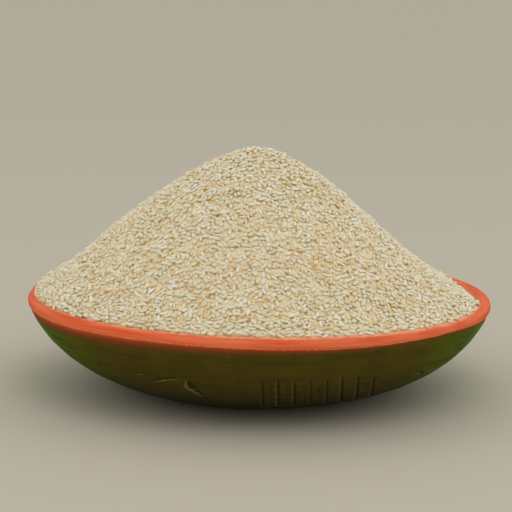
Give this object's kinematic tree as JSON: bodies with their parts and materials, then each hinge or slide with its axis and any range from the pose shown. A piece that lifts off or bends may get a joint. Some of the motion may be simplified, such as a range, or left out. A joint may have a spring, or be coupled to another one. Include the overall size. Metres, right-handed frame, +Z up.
{
  "type": "heaped bowl of uncooked rice",
  "caption": "Shallow round painted bowl with a rounded rim, filled with a cone-shaped heap of loose uncooked rice.",
  "frame": {"origin": "centre of the bowl's flat foot, on the surface it stands on", "axes": "+Z up along the bowl's axis, +X to the right and -Y towards the picture's viewer"},
  "size_m": [0.3598, 0.3598, 0.1894],
  "materials": {
    "painted_wood": "satin olive paint outside, orange-red paint on the rim and inside",
    "rice": "cream, slightly glassy raw grains"
  },
  "bodies": {
    "root": {"bowl": "painted_wood", "rice": "rice"}
  },
  "joints": []
}
